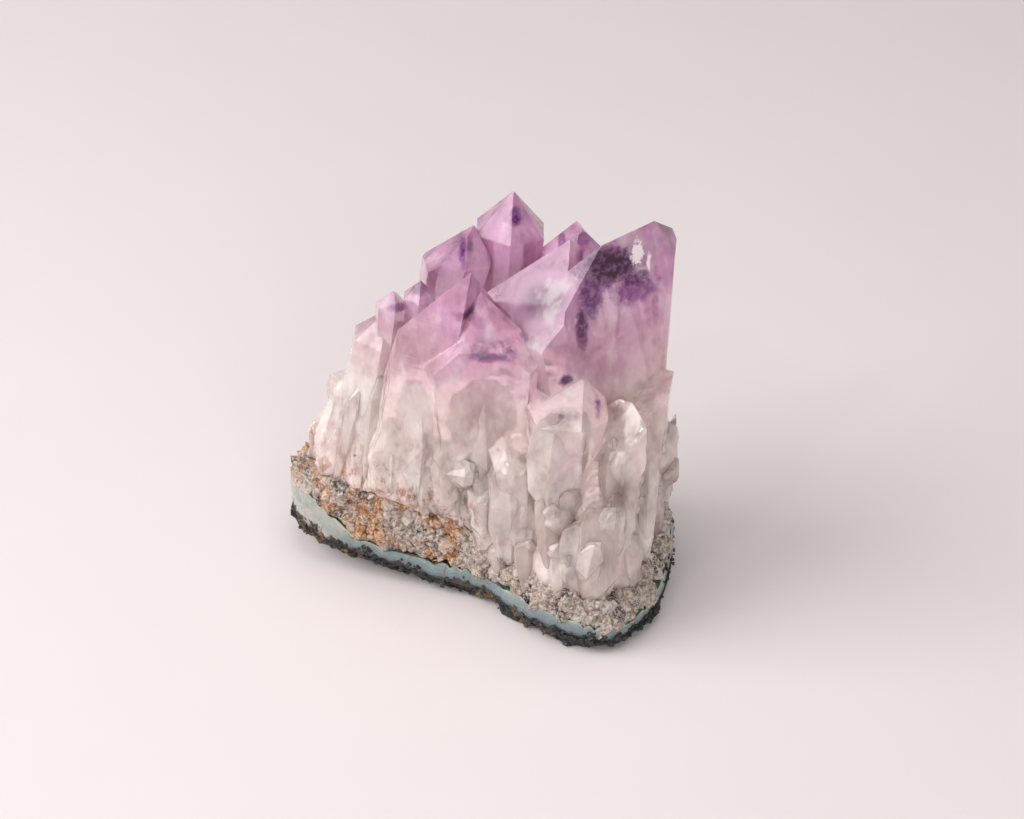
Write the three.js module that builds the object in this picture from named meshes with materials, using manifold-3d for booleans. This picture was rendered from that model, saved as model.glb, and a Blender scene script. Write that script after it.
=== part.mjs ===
// Amethyst cluster: a palm-sized piece of geode wall that stands on its own crust. It has four layers. From below
// they are a thin dark basalt crust, a band of agate, a crust of fine-grained drusy quartz, and on top the
// intergrown quartz crystals, milky in their columns and purple at their points.
// Millimetres, +Z up. The origin is under the middle of the piece, on the surface it rests on, and -Y is its front.
import * as THREE from "three";
import { mergeVertices } from "three/addons/utils/BufferGeometryUtils.js";
import Module from "manifold-3d";

const wasm = await Module();
wasm.setup();

// ---- Driving dimensions ----
const GAP = 0.3; // clearance between two layers that touch in the real piece
const SECTORS = 48; // steps around each layer
const RINGS = [0, 0.28, 0.52, 0.74, 0.9, 1]; // shares of the way from the middle to the rim
const FOOT_SHARE = 0.62; // the underside is flat out to this share of the way to the rim
const DEG = Math.PI / 180;
const RHOMB_ANGLE = 51.8 * DEG; // between a rhombohedral face's normal and the crystal's axis
const TAPER = 4 * DEG; // a prism narrows towards its root by this angle on each side
const BLANK_RADIUS = 60; // a block that holds any one crystal before its faces are cut
const MIDDLE = new THREE.Vector2(2, 0); // where the layers' rings close up

// Heights at the middle of the bowl: the tops of the basalt, of the agate and of the druse.
const MIDDLE_TOPS = [3, 6, 10];

// The rim, counterclockwise from the front corner: where it is in plan, how far its underside is off the surface it
// rests on, and how thick the basalt, the agate and the druse are there.
const RIM = [
  { at: [20.5, -27.5], lift: 0, basalt: 2.6, agate: 3.0, druse: 3.5 },
  { at: [27.8, -22], lift: 0.5, basalt: 1.6, agate: 2.2, druse: 3.0 },
  { at: [32.6, -12.5], lift: 1.0, basalt: 1.6, agate: 2.2, druse: 3.0 },
  { at: [35.0, -1], lift: 2.2, basalt: 2.6, agate: 2.6, druse: 3.5 },
  { at: [34.2, 10], lift: 2.2, basalt: 2.6, agate: 3.0, druse: 4.5 },
  { at: [27.0, 19.5], lift: 1.8, basalt: 2.6, agate: 3.0, druse: 5.5 },
  { at: [12.0, 25], lift: 1.4, basalt: 3.0, agate: 3.2, druse: 6.0 },
  { at: [-6.0, 26], lift: 1.6, basalt: 3.0, agate: 3.2, druse: 6.0 },
  { at: [-22.0, 24], lift: 3.0, basalt: 2.8, agate: 3.8, druse: 6.5 },
  { at: [-33.0, 18.5], lift: 4.8, basalt: 2.2, agate: 7.0, druse: 5.5 },
  { at: [-36.6, 10.5], lift: 5.0, basalt: 1.8, agate: 9.0, druse: 4.8 },
  { at: [-33.0, 2], lift: 4.0, basalt: 2.0, agate: 8.8, druse: 6.2 },
  { at: [-23.5, -3.5], lift: 2.8, basalt: 2.0, agate: 3.4, druse: 11.6 },
  { at: [-11.0, -8], lift: 1.0, basalt: 2.2, agate: 3.6, druse: 11.0 },
  { at: [0.0, -13.2], lift: 0.3, basalt: 2.6, agate: 3.8, druse: 9.0 },
  { at: [9.5, -23], lift: 0, basalt: 3.6, agate: 3.4, druse: 5.5 },
];

// ---- Solids and the library that joins and cuts them ----
function solidOf(geometry) {
  const bare = geometry.clone();
  bare.deleteAttribute("normal");
  bare.deleteAttribute("uv");
  const merged = mergeVertices(bare, 1e-4);
  return new wasm.Manifold(
    new wasm.Mesh({
      numProp: 3,
      vertProperties: new Float32Array(merged.attributes.position.array),
      triVerts: new Uint32Array(merged.index.array),
    }),
  );
}

function geometryOf(solid) {
  const mesh = solid.getMesh();
  const positions = new Float32Array(mesh.numVert * 3);
  for (let i = 0; i < mesh.numVert; i++) {
    positions.set(mesh.vertProperties.subarray(i * mesh.numProp, i * mesh.numProp + 3), i * 3);
  }
  return new THREE.BufferGeometry()
    .setAttribute("position", new THREE.BufferAttribute(positions, 3))
    .setIndex(new THREE.BufferAttribute(mesh.triVerts, 1))
    .toNonIndexed();
}

// ---- The layers ----
// Closed smooth curves through the rim's stations: one for the plan and the lift, one for the three thicknesses.
const planCurve = new THREE.CatmullRomCurve3(
  RIM.map(({ at, lift }) => new THREE.Vector3(at[0], at[1], lift)),
  true,
);
const thicknessCurve = new THREE.CatmullRomCurve3(
  RIM.map(({ basalt, agate, druse }) => new THREE.Vector3(basalt, agate, druse)),
  true,
);

// The rim at a turn from 0 to 1: its plan, its lift, and the tops of the three layers there.
function rimAt(turn) {
  const plan = planCurve.getPoint(turn);
  const thick = thicknessCurve.getPoint(turn);
  const basaltTop = plan.z + thick.x;
  const agateTop = basaltTop + thick.y;
  return { x: plan.x, y: plan.y, lift: Math.max(plan.z, 0), tops: [basaltTop, agateTop, agateTop + thick.z] };
}

// A point of the underside: flat in the middle, lifting smoothly to the rim.
function undersideHeight(rim, share) {
  return rim.lift * THREE.MathUtils.smoothstep(share, FOOT_SHARE, 1);
}

// A point on the top of layer 0, 1 or 2: a shallow bowl that rises from the middle to the rim.
function topHeight(layer, rim, share) {
  return THREE.MathUtils.lerp(MIDDLE_TOPS[layer], rim.tops[layer], share * share);
}

// A closed slab between two surfaces given on the same rings and sectors. lower and upper each hold how far out
// their last ring lies, as a share of the rim, and a height for each rim point and share.
function slabGeometry(lower, upper) {
  const positions = [];
  const index = [];
  const ringStart = (surface, ring) =>
    surface * (1 + (RINGS.length - 1) * SECTORS) + (ring === 0 ? 0 : 1 + (ring - 1) * SECTORS);
  for (const surface of [lower, upper]) {
    for (const [ring, share] of RINGS.entries()) {
      for (let sector = 0; sector < (ring === 0 ? 1 : SECTORS); sector++) {
        const rim = rimAt(sector / SECTORS);
        const out = share * surface.out;
        positions.push(
          THREE.MathUtils.lerp(MIDDLE.x, rim.x, out),
          THREE.MathUtils.lerp(MIDDLE.y, rim.y, out),
          surface.height(rim, out),
        );
      }
    }
  }
  for (let sector = 0; sector < SECTORS; sector++) {
    const next = (sector + 1) % SECTORS;
    for (const surface of [0, 1]) {
      const face = (a, b, c) => index.push(...(surface ? [a, b, c] : [a, c, b]));
      face(ringStart(surface, 0), ringStart(surface, 1) + sector, ringStart(surface, 1) + next);
      for (let ring = 1; ring < RINGS.length - 1; ring++) {
        const [inner, outer] = [ringStart(surface, ring), ringStart(surface, ring + 1)];
        face(inner + sector, outer + sector, outer + next);
        face(inner + sector, outer + next, inner + next);
      }
    }
    const [low, high] = [ringStart(0, RINGS.length - 1), ringStart(1, RINGS.length - 1)];
    index.push(low + sector, low + next, high + next, low + sector, high + next, high + sector);
  }
  return new THREE.BufferGeometry()
    .setAttribute("position", new THREE.Float32BufferAttribute(positions, 3))
    .setIndex(index);
}

const UNDERSIDE_OUT = 0.94; // the underside's rim is chamfered in
const AGATE_OUT = 0.985;
const DRUSE_FOOT_OUT = 0.96;
const DRUSE_TOP_OUT = 0.9; // the druse slopes back from the rim

function basaltGeometry() {
  return slabGeometry(
    { out: UNDERSIDE_OUT, height: undersideHeight },
    { out: 1, height: (rim, share) => topHeight(0, rim, share) },
  );
}

function agateGeometry() {
  return slabGeometry(
    { out: 1, height: (rim, share) => topHeight(0, rim, share) + GAP },
    { out: AGATE_OUT, height: (rim, share) => topHeight(1, rim, share) },
  );
}

function druseGeometry() {
  return slabGeometry(
    { out: DRUSE_FOOT_OUT, height: (rim, share) => topHeight(1, rim, share) + GAP },
    { out: DRUSE_TOP_OUT, height: (rim, share) => topHeight(2, rim, share) },
  );
}

// ---- The crystals ----
const random = (() => {
  let state = 20;
  return () => {
    state = (state + 0x6d2b79f5) | 0;
    let t = Math.imul(state ^ (state >>> 15), 1 | state);
    t = (t + Math.imul(t ^ (t >>> 7), 61 | t)) ^ t;
    return ((t ^ (t >>> 14)) >>> 0) / 4294967296;
  };
})();
const between = (low, high) => low + (high - low) * random();

function block(center) {
  return solidOf(new THREE.BoxGeometry(...Array(3).fill(4 * BLANK_RADIUS)).translate(...center));
}

// Takes off what lies outside the plane through point whose outward normal is given.
function cut(solid, normal, point) {
  return solid.trimByPlane([-normal.x, -normal.y, -normal.z], -normal.dot(point));
}

// Cuts a face: the azimuth that it looks to and how far its outward normal rises above the level, both in degrees,
// and a point that it goes through.
function cutFace(solid, { azimuth, rise, through }) {
  const [turn, tilt] = [azimuth, rise].map(THREE.MathUtils.degToRad);
  const level = Math.cos(tilt);
  const normal = new THREE.Vector3(level * Math.cos(turn), level * Math.sin(turn), Math.sin(tilt));
  return cut(solid, normal, new THREE.Vector3(...through));
}

// A crystal given face by face. It is cut off level at the root's height.
function faceted({ faces, root }) {
  const rooted = cut(block(faces[0].through), new THREE.Vector3(0, 0, -1), new THREE.Vector3(0, 0, root));
  return faces.reduce(cutFace, rooted);
}

// A quartz crystal: six prism faces around an axis from foot to apex, closed by six rhombohedral faces. turn is
// the azimuth of the first face in degrees, radii the six prism faces' distances from the axis just under the point,
// and drops how far below the apex each rhombohedral face crosses the axis: the largest drop makes the widest face.
// broken lists the faces where its point has broken off.
function crystal({ foot, apex, turn, radii, drops = [0, 0, 0, 0, 0, 0], taper = TAPER, broken = [] }) {
  const root = new THREE.Vector3(...foot);
  const top = new THREE.Vector3(...apex);
  const axis = top.clone().sub(root).normalize();
  const shoulder = top.clone().addScaledVector(axis, -Math.max(...radii) * Math.tan(RHOMB_ANGLE));
  let solid = cut(block(apex), axis.clone().negate(), root);
  for (let side = 0; side < 6; side++) {
    const azimuth = THREE.MathUtils.degToRad(turn + 60 * side);
    const level = new THREE.Vector3(Math.cos(azimuth), Math.sin(azimuth), 0);
    const outward = level.addScaledVector(axis, -level.dot(axis)).normalize();
    const onPrism = shoulder.clone().addScaledVector(outward, radii[side]);
    const prismNormal = outward.clone().multiplyScalar(Math.cos(taper)).addScaledVector(axis, -Math.sin(taper));
    solid = cut(solid, prismNormal, onPrism);
    const onRhomb = top.clone().addScaledVector(axis, -drops[side]);
    const rhombNormal = outward
      .clone()
      .multiplyScalar(Math.sin(RHOMB_ANGLE))
      .addScaledVector(axis, Math.cos(RHOMB_ANGLE));
    solid = cut(solid, rhombNormal, onRhomb);
  }
  return broken.reduce(cutFace, solid);
}

const even = (radius) => Array(6).fill(radius);

const PEAK = [29.5, 0.2, 73]; // the highest point of the piece
const FACE_LOW = [10.6, -13, 55.2]; // the lowest corner of the large sloping face
const FACE_LEFT = [0.4, -1.4, 59.5]; // its left corner

// The tall crystal of the right side, and its twin in parallel growth, which carries the same face on to the left.
const TALL = [
  {
    root: 8,
    faces: [
      { azimuth: 234, rise: 38.2, through: FACE_LOW },
      { azimuth: 296, rise: 11.4, through: FACE_LOW },
      { azimuth: 299, rise: 2.6, through: [22, -7.9, 53.2] },
      { azimuth: 296, rise: -4, through: [21, -11.2, 43] },
      { azimuth: 234, rise: -4, through: [10, -13, 50] },
      { azimuth: 125, rise: 31, through: PEAK },
      { azimuth: 350, rise: 27, through: PEAK },
      { azimuth: 354, rise: -2, through: [32.9, -2, 62] },
      { azimuth: 54, rise: -3, through: [30, 8, 60] },
      { azimuth: 114, rise: -3, through: [20, 8.5, 60] },
      { azimuth: 174, rise: -4, through: [6, 0, 50] },
    ],
  },
  {
    root: 8,
    faces: [
      { azimuth: 234, rise: 38.2, through: FACE_LOW },
      { azimuth: 221, rise: -3, through: FACE_LEFT },
      { azimuth: 117, rise: 32, through: FACE_LEFT },
      { azimuth: 340, rise: 12, through: [15, -3, 68] },
      { azimuth: 114, rise: -4, through: [8, 6, 55] },
      { azimuth: 174, rise: 2, through: FACE_LEFT },
      { azimuth: 296, rise: -3, through: FACE_LOW },
    ],
  },
];

// The striped column of the left side.
const STRIPED = {
  root: 10,
  faces: [
    { azimuth: 242, rise: 14, through: [-8.7, -13, 50.7] },
    { azimuth: 250, rise: -6, through: [-9, -13.1, 44] },
    { azimuth: 112, rise: 30, through: [-0.9, -7, 63.2] },
    { azimuth: 185, rise: 10, through: [-17, -4, 46] },
    { azimuth: 330, rise: -4, through: [-1, -8, 58] },
    { azimuth: 60, rise: -4, through: [-4, 2, 50] },
  ],
};

// The other crystals, from the ones that show best to the low columns of the sides.
const POINTS = [
  // the broad crystal at the middle of the front
  { foot: [0.2, -10, 12], apex: [-0.4, -9, 64.2], turn: 270, radii: [6, 10.2, 9, 8, 8, 10.2], taper: 7 * DEG },
  // the three behind
  { foot: [-15, 8, 12], apex: [-2.8, 12, 67.6], turn: 250, radii: [6.2, 6, 5, 5, 5.4, 6], drops: [0, 0, 0, 0, 3, 3] },
  { foot: [1, 12, 12], apex: [5.2, 15.5, 70.6], turn: 240, radii: even(6) },
  { foot: [13, 8, 12], apex: [17, 12, 68], turn: 255, radii: even(6), drops: [0, 0, 2, 0, 1.5, 0] },
  // the small one wedged between the tall crystal and those behind
  { foot: [16, 4, 40], apex: [17.5, 4, 69.1], turn: 225, radii: even(3), drops: [0, 1, 0, 0, 0, 0] },
  // the small ones that stand in a row on the left
  { foot: [-19, 2, 30], apex: [-15.8, 3, 58.2], turn: 250, radii: even(2.8), drops: [0, 0, 1, 0, 1, 0] },
  { foot: [-14, 2, 30], apex: [-11.1, 3, 59.5], turn: 240, radii: even(2.7) },
  { foot: [-8, 2, 30], apex: [-4, 2, 61], turn: 250, radii: even(4), drops: [0, 0, 0, 2, 2, 0] },
  // the low columns of the front and of the right side, their points broken off
  {
    foot: [13, -15, 6],
    apex: [14.6, -12.5, 53],
    turn: 262,
    radii: even(7),
    taper: 7 * DEG,
    broken: [
      { azimuth: 262, rise: 62, through: [14.6, -13, 46.5] },
      { azimuth: 330, rise: 40, through: [19, -13, 45] },
    ],
  },
  {
    foot: [27, -10, 6],
    apex: [28.5, -6, 54],
    turn: 290,
    radii: even(5),
    broken: [{ azimuth: 215, rise: 58, through: [32.5, -6, 44.5] }],
  },
  {
    foot: [22.5, -16, 6],
    apex: [24, -12, 46],
    turn: 300,
    radii: even(4.8),
    taper: 5 * DEG,
    broken: [{ azimuth: 240, rise: 38, through: [24, -14, 38.5] }],
  },
  {
    foot: [31, -2, 6],
    apex: [31.8, -3, 38],
    turn: 300,
    radii: even(3),
    broken: [{ azimuth: 320, rise: 50, through: [32, -3, 32] }],
  },
  {
    foot: [31.5, 5, 6],
    apex: [32, 4, 34],
    turn: 310,
    radii: even(3.4),
    broken: [{ azimuth: 20, rise: 55, through: [32, 4, 27] }],
  },
  // the wedges of the broken front, narrow at their roots
  {
    foot: [-6.5, -11, 10],
    apex: [-5, -11, 44],
    turn: 262,
    radii: even(4.4),
    taper: 8 * DEG,
    broken: [{ azimuth: 255, rise: 30, through: [-5, -13.5, 34] }],
  },
  {
    foot: [7, -17.5, 8],
    apex: [5.8, -13, 46],
    turn: 255,
    radii: even(5.8),
    taper: 11 * DEG,
    broken: [
      { azimuth: 235, rise: 36, through: [4, -17, 35] },
      { azimuth: 285, rise: 40, through: [7, -17, 34.5] },
    ],
  },
  {
    foot: [1, -13, 8],
    apex: [-0.8, -12, 36],
    turn: 280,
    radii: even(4),
    taper: 9 * DEG,
    broken: [{ azimuth: 250, rise: 35, through: [-1, -15, 26] }],
  },
  {
    foot: [12.5, -19, 6],
    apex: [13, -17, 40],
    turn: 272,
    radii: even(4.6),
    taper: 9 * DEG,
    broken: [{ azimuth: 275, rise: 28, through: [13, -20.5, 28] }],
  },
  {
    foot: [19.5, -19.5, 4],
    apex: [20.5, -15, 40],
    turn: 250,
    radii: even(5.6),
    taper: 8 * DEG,
    broken: [
      { azimuth: 250, rise: 34, through: [20, -20.5, 26] },
      { azimuth: 310, rise: 30, through: [22, -20.5, 25] },
    ],
  },
  // the leaning columns of the left side, wide at their roots
  { foot: [-25, 4, 12], apex: [-17.2, 4, 53], turn: 240, radii: even(4.8), taper: -2 * DEG },
  { foot: [-28, 5, 12], apex: [-22.3, 5, 41.5], turn: 250, radii: even(4.2), taper: -3 * DEG },
  { foot: [-29.5, 8, 12], apex: [-27.5, 8, 29], turn: 235, radii: even(3.8), taper: -3 * DEG },
];

// The back, where columns of no special shape stand side by side and lean out.
const BACK = { count: 9, from: [-27, 12], to: [28, 11], bow: 8, height: [36, 54], radius: [4, 5.4] };

function backColumns() {
  return Array.from({ length: BACK.count }, (_, i) => {
    const share = i / (BACK.count - 1);
    const lean = THREE.MathUtils.lerp(-3, 3, share);
    const x = THREE.MathUtils.lerp(BACK.from[0], BACK.to[0], share);
    const y = THREE.MathUtils.lerp(BACK.from[1], BACK.to[1], share) + BACK.bow * Math.sin(Math.PI * share);
    const height = between(...BACK.height) * (0.5 + 0.5 * Math.sin(Math.PI * share));
    return crystal({
      foot: [x, y - 1, 10],
      apex: [x + lean, y + between(-2, 1), height],
      turn: between(0, 60),
      radii: Array.from({ length: 6 }, () => between(...BACK.radius)),
      drops: Array.from({ length: 6 }, () => between(0, 1.5)),
    });
  });
}

// The mass that the columns have in common, a heap from the druse's rim up to its crown.
const CROWN = { height: 51, power: 2 };

function heapSolid() {
  const top = (rim, share) =>
    THREE.MathUtils.lerp(CROWN.height, rim.tops[2] - 1, (share / DRUSE_TOP_OUT) ** CROWN.power);
  return solidOf(
    slabGeometry(
      { out: DRUSE_TOP_OUT, height: (rim, share) => topHeight(1, rim, share) },
      { out: DRUSE_TOP_OUT, height: top },
    ),
  );
}

function crystalsSolid() {
  const crystals = [...TALL, STRIPED].map(faceted).concat(POINTS.map(crystal), backColumns());
  return crystals.reduce((all, one) => all.add(one), heapSolid());
}

function druseCutter() {
  return solidOf(
    slabGeometry(
      { out: 1.5, height: () => -BLANK_RADIUS },
      { out: 1.5, height: (rim, share) => topHeight(2, rim, share) + GAP },
    ),
  );
}

// ---- The assembly ----
function layer(name, geometry, color, roughness) {
  const mesh = new THREE.Mesh(
    geometry,
    new THREE.MeshStandardMaterial({ color, roughness, metalness: 0 }),
  );
  mesh.name = name;
  return mesh;
}

const cluster = new THREE.Group();
cluster.add(
  layer("basalt_crust", basaltGeometry(), 0x26292a, 0.9),
  layer("agate_band", agateGeometry(), 0x8fa3a8, 0.35),
  layer("druse_crust", druseGeometry(), 0xa89a8c, 0.7),
  layer("amethyst_crystals", geometryOf(crystalsSolid().subtract(druseCutter())), 0xc8a6c4, 0.1),
);

// Put the middle of the piece over the origin.
const middle = new THREE.Box3().setFromObject(cluster).getCenter(new THREE.Vector3());
for (const mesh of cluster.children) {
  mesh.geometry.translate(-middle.x, -middle.y, 0);
}

export default cluster;
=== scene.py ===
"""The look of an amethyst cluster: quartz points on a crust of druse, agate and basalt. Metres, +Z up, front -Y."""
import math

import bmesh
import bpy
import numpy as np
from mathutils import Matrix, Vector
from mathutils.bvhtree import BVHTree


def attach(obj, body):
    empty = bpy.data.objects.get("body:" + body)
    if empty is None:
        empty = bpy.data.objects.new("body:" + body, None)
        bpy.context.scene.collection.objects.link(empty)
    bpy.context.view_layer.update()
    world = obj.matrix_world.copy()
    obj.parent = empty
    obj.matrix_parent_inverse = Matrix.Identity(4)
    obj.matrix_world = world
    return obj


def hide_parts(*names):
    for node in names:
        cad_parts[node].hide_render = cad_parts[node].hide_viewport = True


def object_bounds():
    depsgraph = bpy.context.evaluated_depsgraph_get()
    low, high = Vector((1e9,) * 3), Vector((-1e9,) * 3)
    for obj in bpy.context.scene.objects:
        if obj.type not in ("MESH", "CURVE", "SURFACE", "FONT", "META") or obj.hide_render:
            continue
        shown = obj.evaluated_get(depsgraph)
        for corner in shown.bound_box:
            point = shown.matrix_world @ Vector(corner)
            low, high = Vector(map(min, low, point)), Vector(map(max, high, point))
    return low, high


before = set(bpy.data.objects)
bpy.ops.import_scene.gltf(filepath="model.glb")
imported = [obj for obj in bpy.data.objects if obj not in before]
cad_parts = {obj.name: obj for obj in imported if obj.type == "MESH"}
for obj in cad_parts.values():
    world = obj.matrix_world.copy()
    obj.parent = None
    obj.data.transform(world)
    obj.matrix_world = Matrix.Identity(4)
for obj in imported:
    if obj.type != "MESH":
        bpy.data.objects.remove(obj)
cad_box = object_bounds()

MM = 0.001

# ---------------------------------------------------------------- the crust's plan
# The rim, counterclockwise from the front corner, in mm: x, y, lift off the table, then the thicknesses of the
# basalt, the agate and the druse.
RIM = np.array([
    [20.5, -27.5, 0.0, 2.6, 3.0, 3.5], [27.8, -22.0, 0.5, 1.6, 2.2, 3.0], [32.6, -12.5, 1.0, 1.6, 2.2, 3.0],
    [35.0, -1.0, 2.2, 2.6, 2.6, 3.5], [34.2, 10.0, 2.2, 2.6, 3.0, 4.5], [27.0, 19.5, 1.8, 2.6, 3.0, 5.5],
    [12.0, 25.0, 1.4, 3.0, 3.2, 6.0], [-6.0, 26.0, 1.6, 3.0, 3.2, 6.0], [-22.0, 24.0, 3.0, 2.8, 3.8, 6.5],
    [-33.0, 18.5, 4.8, 2.2, 7.0, 5.5], [-36.6, 10.5, 5.0, 1.8, 9.0, 4.8], [-33.0, 2.0, 4.0, 2.0, 8.8, 6.2],
    [-23.5, -3.5, 2.8, 2.0, 3.4, 11.6], [-11.0, -8.0, 1.0, 2.2, 3.6, 11.0], [0.0, -13.2, 0.3, 2.6, 3.8, 9.0],
    [9.5, -23.0, 0.0, 3.6, 3.4, 5.5],
])
SHIFT = np.array([0.7, 0.72])  # moves the rim's plan over the frame's origin
MIDDLE = np.array([2.7, 0.72])  # where the rings close up
MIDDLE_TOPS = (3.0, 6.0, 10.0)  # tops of the basalt, agate and druse in the middle
FOOT_SHARE = 0.62
DRUSE_TOP_OUT = 0.9


def rim_at(turn):
    """The closed smooth curve through the rim's stations: on each span a cubic whose slope at a station is half the
    step between its two neighbours. turn runs 0 to 1 once around. Gives the six columns of RIM, plan shifted."""
    count = len(RIM)
    place = np.mod(turn, 1.0) * count
    span = np.floor(place).astype(int) % count
    t = (place - np.floor(place))[..., None]
    before, start, end, after = (RIM[(span + k) % count] for k in (-1, 0, 1, 2))
    curve = 0.5 * (2 * start + (end - before) * t + (2 * before - 5 * start + 4 * end - after) * t ** 2
                   + (3 * start - before - 3 * end + after) * t ** 3)
    curve[..., 2] = np.maximum(curve[..., 2], 0)
    curve[..., :2] += SHIFT
    return curve


def layer_top(layer, rim, share):
    """Height of the top of layer 0, 1 or 2: from the middle to the rim it rises with the square of the share."""
    at_rim = rim[..., 2] + rim[..., 3:4 + layer].sum(-1)
    return MIDDLE_TOPS[layer] + (at_rim - MIDDLE_TOPS[layer]) * share ** 2


def smooth(value, low, high):
    """0 below low, 1 above high, and the cubic 3t^2 - 2t^3 between."""
    t = np.clip((value - low) / (high - low), 0, 1)
    return t * t * (3 - 2 * t)


# ---------------------------------------------------------------- noise
def lattice(cell, seed):
    """A fixed number from -1 to 1 for each whole-number cell, by mixing its three indices."""
    mixed = (cell[..., 0] * 73856093) ^ (cell[..., 1] * 19349663) ^ (cell[..., 2] * 83492791) ^ (seed * 2654435761)
    mixed = (mixed ^ (mixed >> 13)) * 1274126177 & 0x7FFFFFFF
    mixed = (mixed ^ (mixed >> 15)) * 668265263 & 0x7FFFFFFF
    return (mixed >> 7 & 0xFFFF) / 32767.5 - 1


def noise(points, size, seed):
    """Smooth noise from -1 to 1: the eight lattice numbers around each point, blended with a cubic. size in mm."""
    scaled = points / size + 1000
    cell = np.floor(scaled).astype(np.int64)
    part = scaled - cell
    part = part * part * (3 - 2 * part)
    total = 0
    for corner in np.ndindex(2, 2, 2):
        offset = np.array(corner)
        weight = np.prod(np.where(offset, part, 1 - part), axis=-1)
        total = total + weight * lattice(cell + offset, seed)
    return total


def rough(points, size, seed, octaves=3):
    """Noise in octaves: each next one half the size and a little over half the height."""
    return sum(noise(points, size / 2 ** k, seed + k) * 0.55 ** k for k in range(octaves))


def blocks(points, size, seed):
    """Height from 0 to about 1 of a crust of blocky crystals, and a number from -1 to 1 for the block. Each cell of
    a lattice has a middle, moved at random, and four directions; how far a point is from the middle is the greatest
    of its four steps along them, and the nearest middle counts. size in mm."""
    scaled = points / size + 1000
    home = np.floor(scaled).astype(np.int64)
    nearest, number = np.full(len(points), 9.0), np.zeros(len(points))
    for step in np.ndindex(3, 3, 3):
        cell = home + np.array(step) - 1
        middle = cell + 0.5 + 0.4 * np.stack([lattice(cell, seed + k) for k in range(3)], -1)
        away = scaled - middle
        farthest = np.zeros(len(points))
        for way in range(4):
            heading = np.stack([lattice(cell, seed + 10 + 3 * way + k) for k in range(3)], -1)
            heading /= np.linalg.norm(heading, axis=-1, keepdims=True) + 1e-6
            farthest = np.maximum(farthest, np.abs((away * heading).sum(-1)))
        number = np.where(farthest < nearest, lattice(cell, seed + 9), number)
        nearest = np.minimum(nearest, farthest)
    return 1 - nearest / 0.7, number


# ---------------------------------------------------------------- meshes
def held(points):
    """Points in metres, moved onto the CAD part's box where they lie outside it."""
    return np.clip(points, *(np.array(corner) for corner in cad_box))


def piece(name, points, faces, finish, smooth_faces=True):
    """A mesh object from points in mm and faces, held inside the CAD part's box; it rides on the root and takes its
    finish from a slot."""
    mesh = bpy.data.meshes.new(name)
    mesh.from_pydata(held(np.asarray(points) * MM).tolist(), [], faces)
    mesh.validate()
    mesh.polygons.foreach_set("use_smooth", [smooth_faces] * len(mesh.polygons))
    mesh.materials.append(finish)
    made = bpy.data.objects.new(name, mesh)
    bpy.context.scene.collection.objects.link(made)
    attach(made, "root")
    return made


def ring_faces(rows, columns):
    """Quads of a grid of rows whose columns close up into rings, with the outside of each quad to the right-hand
    side when rows run up and columns run counterclockwise."""
    row, column = np.meshgrid(np.arange(rows - 1), np.arange(columns), indexing="ij")
    after = (column + 1) % columns
    quads = [row * columns + column, row * columns + after, (row + 1) * columns + after, (row + 1) * columns + column]
    return np.stack(quads, -1).reshape(-1, 4)


def closed(points, faces):
    """Adds a middle point below the first row and above the last, so that the grid becomes a closed body."""
    rows, columns = points.shape[:2]
    flat = points.reshape(-1, 3)
    low, high = len(flat), len(flat) + 1
    column = np.arange(columns)
    after = (column + 1) % columns
    last = (rows - 1) * columns
    foot = np.stack([after, column, np.full(columns, low)], -1)
    head = np.stack([last + column, last + after, np.full(columns, high)], -1)
    flat = np.vstack([flat, points[0].mean(0), points[-1].mean(0)])
    return flat, faces.tolist() + foot.tolist() + head.tolist()


def ring_body(name, points, finish):
    """A piece from a grid of rings, closed at both ends."""
    flat, faces = closed(points, ring_faces(*points.shape[:2]))
    return piece(name, flat, faces, finish)


def outward(points):
    """Unit vectors of a ring grid's surface: the cross product of its two steps."""
    along = np.roll(points, -1, 1) - np.roll(points, 1, 1)
    across = np.gradient(points, axis=0)
    normal = np.cross(along, across)
    return normal / np.maximum(np.linalg.norm(normal, axis=-1, keepdims=True), 1e-9)


def attribute(made, name, values):
    """One number for each point of a piece, which its finish reads by name."""
    made.data.attributes.new(name, "FLOAT", "POINT").data.foreach_set("value", np.asarray(values, np.float32).ravel())


# ---------------------------------------------------------------- shader maths
class Wire:
    """A value on its way through a material. Arithmetic on it adds Math nodes."""

    def __init__(self, socket):
        self.socket = socket

    def maths(self, operation, first, second=0.0):
        node = self.socket.id_data.nodes.new("ShaderNodeMath")
        node.operation = operation
        plug(node.inputs[0], first)
        plug(node.inputs[1], second)
        return Wire(node.outputs[0])

    def __add__(self, other):
        return self.maths("ADD", self, other)

    def __radd__(self, other):
        return self.maths("ADD", other, self)

    def __sub__(self, other):
        return self.maths("SUBTRACT", self, other)

    def __rsub__(self, other):
        return self.maths("SUBTRACT", other, self)

    def __mul__(self, other):
        return self.maths("MULTIPLY", self, other)

    def __rmul__(self, other):
        return self.maths("MULTIPLY", other, self)

    def larger(self, other):
        return self.maths("MAXIMUM", self, other)

    def smaller(self, other):
        return self.maths("MINIMUM", self, other)

    def sine(self):
        return self.maths("SINE", self)

    def between(self, low, high, start=0.0, end=1.0):
        """start below low and end above high, with a smooth step between them."""
        node = self.socket.id_data.nodes.new("ShaderNodeMapRange")
        node.interpolation_type = "SMOOTHSTEP"
        for index, value in enumerate((self, low, high, start, end)):
            plug(node.inputs[index], value)
        return Wire(node.outputs[0])


def plug(socket, value):
    if isinstance(value, Wire):
        socket.id_data.links.new(value.socket, socket)
    else:
        socket.default_value = value


def shade(red, green, blue):
    """A colour as a display shows it, 0 to 255, as the shader's own linear numbers."""
    channels = [v / 255 for v in (red, green, blue)]
    return tuple(v / 12.92 if v <= 0.04045 else ((v + 0.055) / 1.055) ** 2.4 for v in channels) + (1.0,)


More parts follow.
